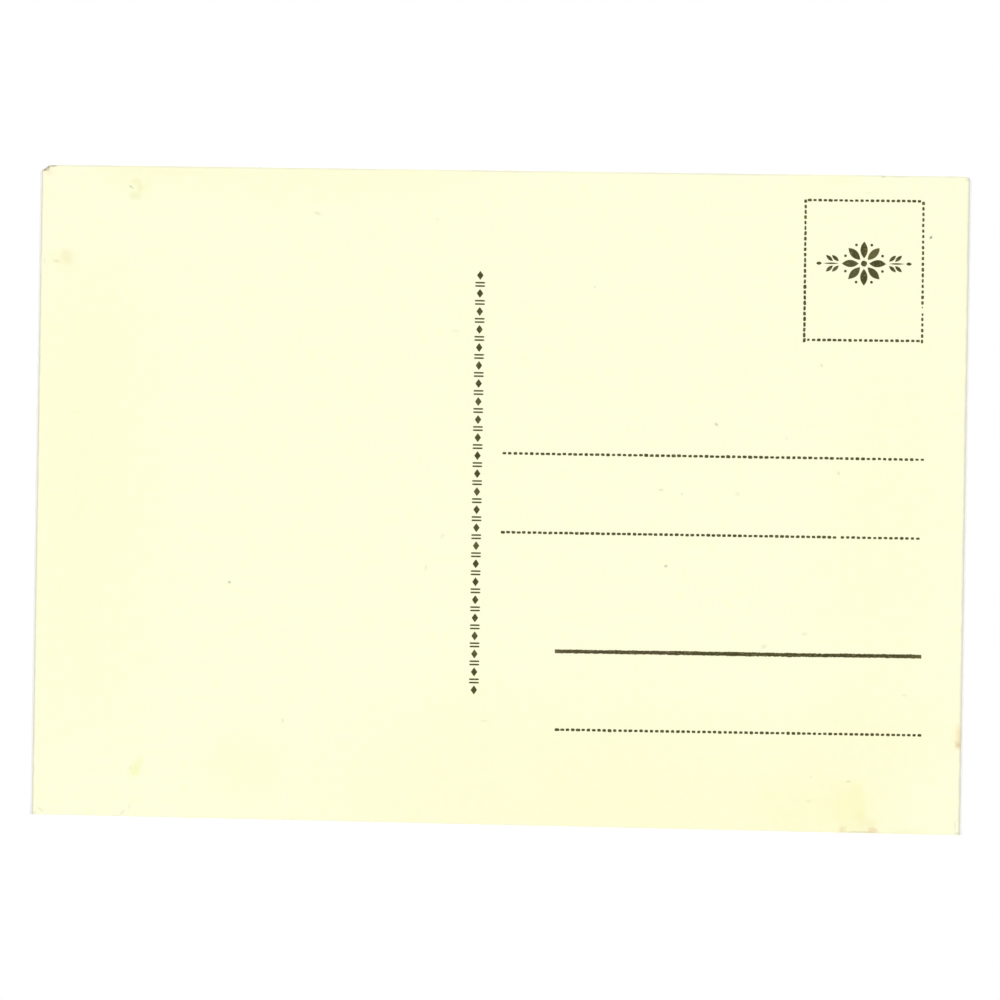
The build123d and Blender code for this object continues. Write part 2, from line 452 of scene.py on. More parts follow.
paper_marks = (
    ((73.55, -36.3), (0.65, 2.0), 0, 0.4, 0.9, (0.95, 0.85, 0.79)),
    ((73.5, -38.15), (0.8, 1.05), 20, 0.5, 0.9, (0.81, 0.68, 0.62)),
    ((73.2, -37.2), (1.3, 2.6), 0, 0.4, 1.0, (0.995, 0.975, 0.915)),
    ((56.2, -47.8), (3.7, 5.0), 0, 0.4, 0.6, (0.996, 0.988, 0.92)),
    ((57.6, -47.6), (2.0, 4.2), 4, 0.5, 0.8, (0.997, 0.99, 0.96)),
    ((58.8, -50.9), (3.4, 1.9), -6, 0.6, 0.9, (0.987, 0.955, 0.9)),
    ((55.2, -51.98), (1.05, 0.85), 20, 0.7, 0.9, (0.93, 0.84, 0.78)),
    ((60.2, -51.9), (1.2, 0.68), -14, 0.7, 0.9, (0.91, 0.81, 0.76)),
    ((58.3, -52.25), (4.2, 0.26), -0.4, 0.6, 0.8, (0.88, 0.83, 0.84)),
    ((64.8, -52.2), (4.6, 0.6), 0, 0.6, 0.9, (0.985, 0.965, 0.9)),
    ((56.09, -44.21), (0.75, 0.27), 0, 0.3, 1.0, (0.83, 0.82, 0.78)),
    ((50.03, -43.57), (0.2, 0.42), 0, 0.4, 0.8, (0.9, 0.91, 0.84)),
    ((49.77, -47.41), (0.75, 0.38), 10, 0.5, 0.9, (0.93, 0.93, 0.87)),
    ((-57.8, -44.35), (1.4, 1.75), -10, 0.5, 0.9, (0.968, 0.98, 0.79)),
    ((-57.0, -42.9), (0.95, 1.6), -25, 0.4, 0.9, (0.985, 0.985, 0.87)),
    ((-58.4, -43.85), (0.4, 0.2), 60, 0.3, 0.7, (0.92, 0.92, 0.88)),
    ((-59.74, 48.78), (0.66, 0.21), -32, 0.4, 0.7, (0.73, 0.74, 0.68)),
    ((-58.9, 49.75), (1.2, 0.75), 10, 0.4, 0.9, (0.953, 0.945, 0.895)),
    ((-58.3, 48.65), (0.7, 1.55), 8, 0.4, 0.9, (0.95, 0.945, 0.88)),
    ((-59.0, 47.35), (1.4, 0.95), -8, 0.4, 0.9, (0.94, 0.945, 0.88)),
    ((-58.0, 48.3), (2.6, 3.2), 0, 0.4, 1.0, (0.994, 0.992, 0.935)),
    ((-69.94, 37.45), (1.6, 1.85), 10, 0.5, 1.0, (0.958, 0.93, 0.88)),
    ((-70.9, 37.2), (2.3, 1.8), 0, 0.4, 1.0, (0.997, 0.985, 0.925)),
    ((-71.4, 36.75), (0.8, 0.34), -8, 0.4, 0.9, (0.9, 0.87, 0.82)),
    ((-73.35, 36.7), (0.45, 0.75), 0, 0.4, 0.9, (0.965, 0.93, 0.89)),
    # Painted shade: these two grey lines stand for a crease, which the flat sheet does not have
    ((-59.6, -50.95), (0.85, 0.28), 48, 0.3, 0.9, (0.89, 0.9, 0.91)),
    ((-58.53, -49.99), (0.6, 0.27), 70, 0.3, 0.9, (0.92, 0.925, 0.93)),
    ((-73.2, -37.15), (0.6, 0.65), 0, 0.4, 0.9, (0.998, 0.985, 0.88)),
    # Painted shade: a grey line along the crease of the bent bottom left corner, and a grey tip beyond it
    ((-72.63, -50.69), (0.95, 0.24), -37, 0.3, 0.9, (0.88, 0.88, 0.88)),
    ((-73.6, -51.15), (0.5, 0.3), 20, 0.4, 0.8, (0.88, 0.87, 0.92)),
    ((73.17, -51.15), (0.2, 1.15), 0, 0.5, 0.9, (0.89, 0.89, 0.88)),
    # Painted shade on the tip of the bent bottom right corner
    ((73.45, -52.2), (0.6, 0.28), 15, 0.4, 0.8, (0.86, 0.84, 0.88)),
    # Painted shade, with some soiling, where the right edge's dark band rounds the top right corner
    ((73.4, 52.0), (0.55, 0.25), -40, 0.4, 0.8, (0.92, 0.9, 0.92)),
    ((-73.5, 51.32), (0.5, 0.3), 28, 0.3, 0.8, (0.48, 0.42, 0.37)),
    ((-72.95, 51.72), (0.46, 0.28), 30, 0.3, 0.8, (0.48, 0.42, 0.37)),
    ((-72.2, 51.92), (0.9, 0.22), 6, 0.3, 0.8, (0.64, 0.6, 0.6)),
    ((-73.05, 51.36), (0.58, 0.36), 25, 0.3, 0.9, (0.77, 0.7, 0.62)),
    ((-72.9, 51.0), (1.2, 0.95), 10, 0.5, 0.9, (0.985, 0.92, 0.92)),
    ((60.16, 52.25), (0.55, 0.16), 0, 0.4, 0.7, (0.76, 0.78, 0.72)),
    ((-53.18, 51.17), (5.5, 0.9), 0, 0.6, 0.9, (0.993, 0.98, 0.95)),
    ((67.88, 42.72), (0.4, 0.26), 55, 0.2, 0.8, (0.32, 0.32, 0.31)),
    ((26.44, -10.34), (0.4, 0.3), 0, 0.3, 1.0, (0.5, 0.5, 0.5)),
    ((-43.09, -13.97), (0.29, 0.34), 10, 0.3, 0.9, (0.56, 0.56, 0.56)),
    ((34.16, 12.38), (0.47, 0.37), -41, 0.3, 1.0, (0.64, 0.64, 0.64)),
    ((53.76, 4.89), (0.52, 0.33), -57, 0.4, 0.9, (0.83, 0.83, 0.82)),
    ((42.28, -22.93), (0.7, 0.57), 36, 0.4, 0.9, (0.89, 0.89, 0.87)),
    ((25.43, 1.79), (0.62, 0.32), 0, 0.4, 0.9, (0.84, 0.84, 0.84)),
    ((48.74, -20.8), (0.64, 0.35), 0, 0.4, 0.9, (0.9, 0.89, 0.87)),
    ((-34.26, -35.9), (0.26, 0.56), 12, 0.4, 0.9, (0.85, 0.85, 0.83)),
    ((-9.24, -6.08), (0.64, 0.4), 46, 0.4, 0.9, (0.91, 0.91, 0.9)),
    ((50.75, 22.03), (0.35, 0.47), 0, 0.4, 0.9, (0.84, 0.84, 0.83)),
    ((28.83, 1.2), (0.34, 0.34), 0, 0.4, 0.9, (0.88, 0.88, 0.88)),
    ((-11.79, -11.17), (0.34, 0.7), 0, 0.4, 0.9, (0.9, 0.9, 0.9)),
    ((-29.97, 45.02), (0.74, 0.33), -19, 0.4, 0.9, (0.88, 0.88, 0.86)),
    ((-2.13, -35.45), (1.15, 0.3), 0, 0.4, 0.9, (0.93, 0.93, 0.92)),
    ((14.43, 34.0), (0.32, 0.24), -46, 0.4, 0.9, (0.84, 0.84, 0.83)),
    ((64.76, -30.34), (0.7, 0.34), 0, 0.4, 0.9, (0.93, 0.92, 0.91)),
    ((37.69, 1.29), (0.58, 0.5), 0, 0.4, 0.9, (0.92, 0.92, 0.91)),
    ((45.35, 10.31), (0.34, 0.34), 0, 0.4, 0.9, (0.93, 0.92, 0.91)),
    ((57.75, 49.72), (0.75, 0.3), 0, 0.4, 0.9, (0.94, 0.935, 0.915)),
    ((-10.82, 44.35), (0.48, 0.3), 0, 0.4, 0.9, (0.935, 0.94, 0.935)),
    ((-7.66, 26.59), (0.9, 0.42), 0, 0.4, 0.9, (0.945, 0.95, 0.935)),
)


def paper_tooth_group():
    """Felt of the paper: fine fibres, drawn out one way by the wire, over a softer cloudy formation."""
    tree, given, height = new_group("paper_tooth", "height", point="Vector")
    drawn_out = node(tree, "Mapping", {0: given["point"], "Scale": fibre_stretch})[0]
    fibres = cloud(tree, drawn_out, fibre_size, detail=3.0)
    felt = cloud(tree, given["point"], felt_size)
    tree.links.new(maths(tree, "MULTIPLY_ADD", felt, felt_share, fibres), height)
    return tree


def soft_spot_group():
    """Ragged oval: the distance from its middle in half sizes, pushed about by a cloud, eased at the rim."""
    sizes = {"middle": "Vector", "half_sizes": "Vector", "turn": "Float"}
    edges = {"push": "Float", "raggedness": "Float", "softness": "Float"}
    tree, given, mask = new_group("soft_spot", "mask", point="Vector", **sizes, **edges)
    apart = node(tree, "VectorMath", {0: given["point"], 1: given["middle"]}, operation="SUBTRACT")[0]
    turned = node(tree, "VectorRotate", {"Vector": apart, "Angle": given["turn"]}, rotation_type="Z_AXIS")[0]
    shares = node(tree, "VectorMath", {0: turned, 1: given["half_sizes"]}, operation="DIVIDE")[0]
    flat = node(tree, "VectorMath", {0: shares, 1: (1.0, 1.0, 0.0)}, operation="MULTIPLY")[0]
    distance = node(tree, "VectorMath", {0: flat}, operation="LENGTH")["Value"]
    push = maths(tree, "MULTIPLY", maths(tree, "SUBTRACT", given["push"], 0.5), 2.0)
    pushed = maths(tree, "MULTIPLY_ADD", push, given["raggedness"], distance)
    inner = maths(tree, "SUBTRACT", 1.0, given["softness"])
    tree.links.new(eased(tree, pushed, 1.0, inner), mask)
    return tree


def paper_finish(paper_tooth, soft_spot):
    """Aged cream paper: clouded, yellowed in parts, marked; painted shade and soiling at the sides, darker
    patches at the top.
    """
    finish, tree, shader = new_finish("aged_cream_paper")
    point = card_point(tree)
    place = node(tree, "SeparateXYZ", {0: point})
    formation = eased(tree, cloud(tree, point, formation_size, detail=4.0), *formation_contrast)
    colour = tinted(tree, formation, cream, formation_tint)
    pushes = [(limit, cloud(tree, point, size, detail=4.0)) for limit, size in rim_clouds]
    for middle, half_sizes, turn, raggedness, softness, tint in yellowed_parts + paper_marks:
        push = next(rim_cloud for limit, rim_cloud in pushes if max(half_sizes) < limit)
        oval = {"middle": (*middle, 0.0), "half_sizes": (*half_sizes, 1.0), "turn": np.radians(-turn)}
        rim = {"push": push, "raggedness": raggedness, "softness": softness}
        mark = placed(tree, soft_spot, point=point, **oval, **rim)
        colour = tinted(tree, mark, colour, (*tint, 1.0))
    # Painted shade, with some soiling, darkens bands inside the left and right edges; the top edge is darker
    # in patches
    side_widths = {3: left_shade_and_grime_width, 4: right_shade_and_grime_width}
    side_width = node(tree, "MapRange", {0: place["X"], 1: -1.0, 2: 1.0, **side_widths})[0]
    from_sides = mesh_measure(tree, "from_sides")
    from_top = mesh_measure(tree, "from_top")
    side_shade_and_grime = placed(tree, rim_grime_and_shade, point=point, distance=from_sides, width=side_width)
    top_band = placed(tree, rim_grime_and_shade, point=point, distance=from_top, width=top_band_width)
    top_patches = eased(tree, cloud(tree, point, top_band_patch_size), *top_band_contrast)
    top_share = maths(tree, "MULTIPLY", top_patches, top_band_share)
    rim_band = maths(tree, "MAXIMUM", side_shade_and_grime, maths(tree, "MULTIPLY", top_band, top_share))
    colour = tinted(tree, rim_band, colour, edge_shade_and_grime_grey)
    tree.links.new(colour, shader["Base Color"])
    shader["Specular IOR Level"].default_value = paper_sheen
    tooth = placed(tree, paper_tooth, point=point)
    roughness = maths(tree, "MULTIPLY_ADD", tooth, paper_tooth_roughness, paper_roughness)
    tree.links.new(roughness, shader["Roughness"])
    relief = {"Height": tooth, "Strength": tooth_strength, "Distance": paper_tooth_depth}
    tree.links.new(node(tree, "Bump", relief)[0], shader["Normal"])
    return finish


paper_tooth = paper_tooth_group()
points, faces, distances = worn_layer(card_low.z, card_high.z, *paper_grid)
paper_material = paper_finish(paper_tooth, soft_spot_group())
paper = new_piece("cream_paper", points, faces, paper_material, **distances)
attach(paper, "root")
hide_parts("paper_base")

# Stamp box
# Four lengths of dashed printer's rule round the place for the stamp, set a little askew. The type was worn,
# so its dashes print bold on the left, thin on the right, and one on the right hardly at all.
dash_length = 0.60 * mm
dash_width = 0.41 * mm
stamp_box_turn = np.radians(0.3)
across_dashes = 22
left_dashes = 27
right_dashes = 26
short_bottom_dash = 0.7
left_dash_lengths = np.array((0.71, 0.61)) * mm
left_dash_widths = np.array((0.45, 0.39)) * mm
left_load = 1.0
right_dash_share = 0.97
right_load = 0.9

# On the right, counted from below, a worn dash and the next one, which hardly prints
faint_dashes = [5, 6]
faint_dash_shares = (0.72, 0.42)
faint_dash_shifts = np.array((-0.12, 0.16)) * mm

# How unevenly dashes print
dash_stray = 0.012 * mm
dash_length_spread = 0.07
dash_width_spread = 0.08
dash_turn_spread = 0.03
dash_unevenness = 0.03
dash_powers = (0.6, 0.6)
poorest_load = 0.5

# Ink: its film on the paper, then its finish
paper_top = card_high.z
ink_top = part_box("address_line_3")[1].z
ink_sink = 0.002 * mm
ink_spread = 0.008 * mm
shoulder_height = paper_top + 0.7 * (ink_top - paper_top)
film_shares = (1.0, 0.93, 0.76)
film_loads = (0.4, 0.7, 1.0)
dark_ink = (0.048, 0.046, 0.010, 1.0)
brown_ink = (0.072, 0.047, 0.026, 1.0)
thin_ink = (0.240, 0.225, 0.085, 1.0)
thin_patch_size = 0.26
thin_patch_stretch = (0.6, 1.0, 1.0)
thin_patch_contrast = (0.48, 0.74)
thin_patch_share = 0.7
brown_patch_size = 7.0
brown_patch_contrast = (0.50, 0.70)
brown_patch_share = 0.3
ink_sheen = 0.15
ink_roughness = 0.60
ink_tooth_roughness = 0.15
ink_tooth_depth = 0.004 * mm

press = np.random.default_rng(1938)


def ink_finish():
    """Matt olive ink, thinner in patches where the worn type carried less of it, and browner in others."""
    finish, tree, shader = new_finish("olive_brown_ink")
    point = card_point(tree)
    load = mesh_measure(tree, "ink_load")
    drawn_out = node(tree, "Mapping", {0: point, "Scale": thin_patch_stretch})[0]
    patchy = eased(tree, cloud(tree, drawn_out, thin_patch_size, detail=3.0), *thin_patch_contrast)
    shaded = eased(tree, cloud(tree, point, brown_patch_size), *brown_patch_contrast)
    browner = maths(tree, "MULTIPLY_ADD", shaded, brown_patch_share, mesh_measure(tree, "ink_brown"))
    patches = maths(tree, "MULTIPLY", patchy, thin_patch_share)
    thin = maths(tree, "MAXIMUM", patches, maths(tree, "SUBTRACT", 1.0, load))
    full = tinted(tree, browner, dark_ink, brown_ink, "MIX")
    tree.links.new(tinted(tree, thin, full, thin_ink, "MIX"), shader["Base Color"])
    tooth = placed(tree, paper_tooth, point=point)
    roughness = maths(tree, "MULTIPLY_ADD", tooth, ink_tooth_roughness, ink_roughness)
    tree.links.new(roughness, shader["Roughness"])
    shader["Specular IOR Level"].default_value = ink_sheen
    relief = {"Height": tooth, "Strength": tooth_strength, "Distance": ink_tooth_depth}
    tree.links.new(node(tree, "Bump", relief)[0], shader["Normal"])
    return finish


def mark_rings(middles, half_lengths, half_widths, turn, powers, unevenness, ring_points=12):
    """Outlines of printed marks, one ring of points each.

    Round a ring, the long way follows the cosine and the short way the sine of an angle, each to a power of
    its size: powers below 1 make a blunt block, 1 and 1 an ellipse, 1 and 2 a pointed leaf. Two to four
    random waves round the ring swell and draw in its edge; then it is turned and moved to its middle.
    """
    count = len(middles)
    angle = np.linspace(0, 2 * np.pi, ring_points, endpoint=False)
    along = np.sign(np.cos(angle)) * np.abs(np.cos(angle)) ** powers[0]
    aside = np.sign(np.sin(angle)) * np.abs(np.sin(angle)) ** powers[1]
    waves = np.arange(2, 5)[:, None]
    swell = press.normal(0, unevenness, (count, waves.size, 1))
    phase = press.uniform(0, 2 * np.pi, (count, waves.size, 1))
    edge = 1 + (swell * np.cos(waves * angle + phase)).sum(axis=1)
    along = along * edge * np.broadcast_to(half_lengths, count)[:, None]
    aside = aside * edge * np.broadcast_to(half_widths, count)[:, None]
    turn = np.broadcast_to(turn, count)[:, None]
    x = along * np.cos(turn) - aside * np.sin(turn)
    y = along * np.sin(turn) + aside * np.cos(turn)
    return np.stack([x, y], axis=-1) + np.asarray(middles)[:, None, :]


def ink_films(name, rings, load, cad_node):
    """Closed film of ink over each ring, standing a little in the paper.

    Three rings, each the outline drawn in by a share towards its own middle, climb from the foot over a
    rounded shoulder to the top, and fans of triangles close the top and the underside. The ink is thinnest
    on the outer ring.
    """
    count, ring_points = rings.shape[:2]
    middles = rings.mean(axis=1, keepdims=True)
    shares = np.array(film_shares)[None, :, None, None]
    foot = paper_top - ink_sink
    heights = np.array((foot, shoulder_height, ink_top))
    walls = middles[:, None] + shares * (rings - middles)[:, None]
    heights_round = np.broadcast_to(heights[None, :, None, None], (count, 3, ring_points, 1))
    walls = np.concatenate([walls, heights_round], axis=-1).reshape(count, -1, 3)
    ends = np.repeat(middles, 2, axis=1)
    ends = np.concatenate([ends, np.broadcast_to([[[foot], [ink_top]]], (count, 2, 1))], axis=-1)
    points = np.concatenate([walls, ends], axis=1)
    ring = np.arange(ring_points)
    after = np.roll(ring, -1)
    lower, upper = ring_points * np.array((0, 1))[:, None], ring_points * np.array((1, 2))[:, None]
    strips = np.stack([lower + ring, lower + after, upper + after, upper + ring], axis=-1).reshape(-1, 4)
    underside, top = 3 * ring_points, 3 * ring_points + 1
    fan_under = np.stack([np.full(ring_points, underside), after, ring], axis=-1)
    fan_top = np.stack([np.full(ring_points, top), 2 * ring_points + ring, 2 * ring_points + after], axis=-1)
    first = points.shape[1] * np.arange(count)[:, None, None]
    quads = (first + strips).reshape(-1, 4)
    triangles = (first + np.concatenate([fan_under, fan_top])).reshape(-1, 3)
    ring_loads = np.concatenate([np.repeat(film_loads, ring_points), (film_loads[0], film_loads[-1])])
    loads = np.outer(np.broadcast_to(load, count), ring_loads).ravel()
    faces = quads.tolist() + triangles.tolist()
    films = new_piece(name, points.reshape(-1, 3), faces, olive_ink, ink_load=loads)
    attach(films, "root")
    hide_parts(cad_node)


def dash_middles(cad_node, count, upright=False):
    """Even places along a node's box from first dash to last, on a line turned with the stamp box."""
    low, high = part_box(cad_node)
    low, high = np.array(low.xy), np.array(high.xy)
    along = np.array((0.0, 1.0)) if upright else np.array((1.0, 0.0))
    tilt = np.array((-along[1], along[0])) * np.tan(stamp_box_turn)
    half_run = ((high - low) @ along - dash_length) / 2
    places = np.linspace(-half_run, half_run, count)[:, None]
    return (low + high) / 2 + places * (along + tilt)


def dash_load(count, usual=0.99, spread=0.12):
    """How well each dash was inked: about the usual share, a little less here and there."""
    return np.clip(usual - np.abs(press.normal(0, spread, count)), poorest_load, 1.0)


def dash_rings(middles, lengths, widths, turn):
    """Blunt dashes of uneven length and width, each a little off its place and its line.

    The ink has spread a little past the face of the type on all sides.
    """
    count = len(middles)
    strayed = middles + press.normal(0, dash_stray, (count, 2))
    half_lengths = lengths * press.normal(1, dash_length_spread, count) / 2 + ink_spread
    half_widths = widths * press.normal(1, dash_width_spread, count) / 2 + ink_spread
    turns = turn + press.normal(0, dash_turn_spread, count)
    return mark_rings(strayed, half_lengths, half_widths, turns, dash_powers, dash_unevenness)


olive_ink = ink_finish()
upright_turn = np.pi / 2 + stamp_box_turn

top_middles = dash_middles("stamp_frame_top", across_dashes)
top_rings = dash_rings(top_middles, dash_length, dash_width, stamp_box_turn)
ink_films("stamp_rule_top", top_rings, dash_load(across_dashes), "stamp_frame_top")

bottom_middles = dash_middles("stamp_frame_bottom", across_dashes)
bottom_lengths = np.where(np.arange(across_dashes) == 0, short_bottom_dash, 1.0) * dash_length
bottom_rings = dash_rings(bottom_middles, bottom_lengths, dash_width, stamp_box_turn)
ink_films("stamp_rule_bottom", bottom_rings, dash_load(across_dashes), "stamp_frame_bottom")

left_middles = dash_middles("stamp_frame_left", left_dashes, upright=True)
left_lengths = np.linspace(*left_dash_lengths, left_dashes)
left_widths = np.linspace(*left_dash_widths, left_dashes)
left_rings = dash_rings(left_middles, left_lengths, left_widths, upright_turn)
ink_films("stamp_rule_left", left_rings, dash_load(left_dashes, left_load), "stamp_frame_left")

right_middles = dash_middles("stamp_frame_right", right_dashes, upright=True)
right_middles[faint_dashes, 1] += faint_dash_shifts
right_shares = np.full(right_dashes, right_dash_share)
right_shares[faint_dashes] = faint_dash_shares
right_rings = dash_rings(right_middles, dash_length * right_shares, dash_width * right_shares, upright_turn)
ink_films("stamp_rule_right", right_rings, dash_load(right_dashes, right_load), "stamp_frame_right")

# Address lines
# Three lines of dotted rule and one plain rule for the place, cast in type metal and locked up with the box.
# Two of the dotted ones are made of two lengths, and the second length of the second prints thinner.
line_1_dashes = (62, 16)
line_1_second_length = 13.53 * mm
line_1_gap = 0.02 * mm
line_1_end_size = 0.96
line_1_middle_size = 1.07
line_1_meeting_size = 0.92
line_2_dashes = (64, 15)
line_2_second_length = 12.64 * mm
line_2_gap = 0.64 * mm
line_2_sizes = (1.05, 0.97)
line_2_loads = (1.0, 0.92)
line_4_dashes = 70
line_4_long_dashes = [0, 4]
line_4_long_length = 0.76 * mm
line_4_width = 1.05 * dash_width


def line_middles(cad_node, counts, second_length=0.0, gap=0.0):
    """Places of a dotted line's dashes: even steps over each length of rule, the second on the right."""
    low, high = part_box(cad_node)
    meeting = high.x - second_length
    lefts, rights = (low.x, meeting), (meeting - gap, high.x)
    end = dash_length / 2
    runs = [np.linspace(left + end, right - end, count) for left, right, count in zip(lefts, rights, counts)]
    x = np.concatenate(runs)
    return np.stack([x, np.full(x.size, (low.y + high.y) / 2)], axis=-1)


def swelling(count, ends, middle):
    """Share of a dash's size along a line, from the ends' to the middle's as the root of a half sine."""
    return ends + (middle - ends) * np.sin(np.linspace(0, np.pi, count)) ** 0.5


line_1_middles = line_middles("address_line_1", line_1_dashes, line_1_second_length, line_1_gap)
line_1_size = swelling(len(line_1_middles), line_1_end_size, line_1_middle_size)
line_1_size[line_1_dashes[0] - 1:line_1_dashes[0] + 1] = line_1_meeting_size
line_1_rings = dash_rings(line_1_middles, dash_length * line_1_size, dash_width * line_1_size, 0)
ink_films("address_dots_1", line_1_rings, dash_load(len(line_1_middles)), "address_line_1")

line_2_middles = line_middles("address_line_2", line_2_dashes, line_2_second_length, line_2_gap)
line_2_size = np.repeat(line_2_sizes, line_2_dashes)
line_2_rings = dash_rings(line_2_middles, dash_length * line_2_size, dash_width * line_2_size, 0)
line_2_load = dash_load(len(line_2_middles)) * np.repeat(line_2_loads, line_2_dashes)
ink_films("address_dots_2", line_2_rings, line_2_load, "address_line_2")

line_4_middles = line_middles("address_line_4", (line_4_dashes,))
line_4_lengths = np.full(line_4_dashes, dash_length)
line_4_lengths[line_4_long_dashes] = line_4_long_length
line_4_rings = dash_rings(line_4_middles, line_4_lengths, line_4_width, 0)
ink_films("address_dots_4", line_4_rings, dash_load(line_4_dashes), "address_line_4")

# The plain rule: its ends, edges and step, and how it is inked
rule_stations = 1200
rule_end_blunting = 0.04 * mm
rule_end_depth = 0.9
rule_rag_step = 0.19 * mm
rule_lower_rag = 0.028 * mm
rule_upper_rag = 0.024 * mm
rule_step_place = 55 * mm
rule_step_height = 0.04 * mm
rule_step_length = 1.5 * mm
rule_bold_place = 35.3 * mm
rule_bold_width = 0.022 * mm
rule_bold_length = 9 * mm
rule_load = 0.98
rule_poorest_load = 0.7
rule_thin_end_share = 0.40
rule_thin_end_length = 1.2 * mm
rule_brown_share = 0.12
rule_browner_share = 0.60
rule_browner_end = 29 * mm
rule_browner_fade = 2 * mm

# Waves along the plain rule, each with its length and its height
rule_width_waves = ((9 * mm, 0.012 * mm), (3.1 * mm, 0.012 * mm))
rule_place_waves = ((31 * mm, 0.008 * mm), (6 * mm, 0.006 * mm))
rule_load_waves = ((22 * mm, 0.03), (5 * mm, 0.03))

# Section of the plain rule, from its lower rim over the top and back below: place across, height, load
rule_section = np.array((
    (-1.00, 0.0, 0.20),
    (-0.97, 0.7, 0.35),
    (-0.86, 1.0, 0.60),
    (-0.60, 1.0, 1.00),
    (0.00, 1.0, 1.00),
    (0.60, 1.0, 1.00),
    (0.86, 1.0, 0.60),
    (0.97, 0.7, 0.35),
    (1.00, 0.0, 0.20),
    (0.00, 0.0, 0.20),
))


def slow_waves(place, waves):
    """Sum of sine waves, each with its own length and height and a random phase."""
    lengths, heights = np.array(waves).T
    phases = press.uniform(0, 2 * np.pi, len(waves))
    turns = 2 * np.pi * place[:, None] / lengths + phases
    return (heights * np.sin(turns)).sum(axis=1)


def ragged_edge(place, depth):
    """Unevenness of a printed edge: random depths at even steps along it, joined by straight lines."""
    knots = np.arange(place[0], place[-1] + rule_rag_step, rule_rag_step)
    return np.interp(place, knots, press.normal(0, depth, knots.size))


def logistic(place, middle, length):
    """S-shaped climb from 0 to 1 about its middle, over about four lengths; a negative length falls."""
    return 1 / (1 + np.exp(-(place - middle) / length))


def plain_rule(cad_node):
    """Long rule: a low section with rounded shoulders carried along a line that wanders a little.

    It is bolder by a bell curve past its first third and steps up a little near its right end. Its lower and
    upper edges are uneven by slow waves and ragged by themselves, and both ends close as quarter ellipses.
    Gives its points, its faces, how well each point is inked, which is less towards its ends and rims, and
    how brown the ink is, which falls off to the right.
    """
    low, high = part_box(cad_node)
    x = np.linspace(low.x, high.x, rule_stations)
    from_end = np.minimum(x - low.x, high.x - x)
    blunt = np.sqrt(1 - np.clip(1 - from_end / rule_end_blunting, 0, rule_end_depth) ** 2)
    bolder = rule_bold_width * np.exp(-((x - rule_bold_place) / rule_bold_length) ** 2)
    half_width = (high.y - low.y) / 2 + bolder + slow_waves(x, rule_width_waves)
    lower_width = half_width + ragged_edge(x, rule_lower_rag)
    upper_width = half_width + ragged_edge(x, rule_upper_rag)
    step = rule_step_height * logistic(x, rule_step_place, rule_step_length)
    middle = (low.y + high.y) / 2 + step + slow_waves(x, rule_place_waves)
    section_aside, section_up, section_load = rule_section.T
    reach = np.where(section_aside < 0, lower_width[:, None], upper_width[:, None])
    y = middle[:, None] + (blunt[:, None] * reach) * section_aside
    foot = paper_top - ink_sink
    z = foot + (ink_top - foot) * section_up + 0 * y
    points = np.stack([np.broadcast_to(x[:, None], y.shape), y, z], axis=-1)
    sides = section_up.size
    ring = np.arange(sides)
    after = np.roll(ring, -1)
    first = sides * np.arange(rule_stations - 1)[:, None]
    skin = np.stack([first + ring, first + sides + ring, first + sides + after, first + after], axis=-1)
    start_cap = ring.tolist()
    end_cap = (ring[::-1] + sides * (rule_stations - 1)).tolist()
    faces = skin.reshape(-1, 4).tolist() + [start_cap, end_cap]
    inked = np.clip(rule_load + slow_waves(x, rule_load_waves), rule_poorest_load, 1.0)
    inked = inked * (1 - rule_thin_end_share * np.exp(-from_end / rule_thin_end_length))
    brown = rule_brown_share + rule_browner_share * logistic(x, rule_browner_end, -rule_browner_fade)
    return points.reshape(-1, 3), faces, np.outer(inked, section_load).ravel(), np.repeat(brown, sides)


points, faces, loads, browns = plain_rule("address_line_3")
rule = new_piece("address_rule_3", points, faces, olive_ink, ink_load=loads, ink_brown=browns)
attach(rule, "root")
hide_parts("address_line_3")

# Divider
# Printer's border of lozenges and pairs of bars, set on end to part the message from the address.
# Every piece is cast type, so all lozenges are alike and only the inking differs.
divider_lozenges = 24
lozenge_length = 1.45 * mm
lozenge_width = 1.05 * mm
bar_length = 1.60 * mm
bar_width = 0.27 * mm
bar_step = 0.53 * mm
lozenge_powers = (1.9, 1.9)
bar_powers = (0.25, 0.4)
divider_unevenness = 0.008
cast_ring_points = 24


def cast_rings(marks, unevenness):
    """Outlines of cast type, for which each kind of mark has middles, turns, length, width and powers."""
    return np.concatenate([
        mark_rings(middles, length / 2, width / 2, turns, powers, unevenness, cast_ring_points)
        for middles, turns, length, width, powers in marks
    ])


divider_low, divider_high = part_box("divider_ornament")
divider_x = (divider_low.x + divider_high.x) / 2
lozenge_end = lozenge_length / 2
lozenge_y = np.linspace(divider_low.y + lozenge_end, divider_high.y - lozenge_end, divider_lozenges)
space_y = (lozenge_y[:-1] + lozenge_y[1:]) / 2
bar_y = np.concatenate([space_y - bar_step / 2, space_y + bar_step / 2])
lozenge_middles = np.stack([np.full(lozenge_y.size, divider_x), lozenge_y], axis=-1)
bar_middles = np.stack([np.full(bar_y.size, divider_x), bar_y], axis=-1)
divider_marks = (
    (lozenge_middles, np.pi / 2, lozenge_length, lozenge_width, lozenge_powers),
    (bar_middles, 0.0, bar_length, bar_width, bar_powers),
)
divider_rings = cast_rings(divider_marks, divider_unevenness)
ink_films("divider_border", divider_rings, dash_load(len(divider_rings)), "divider_ornament")

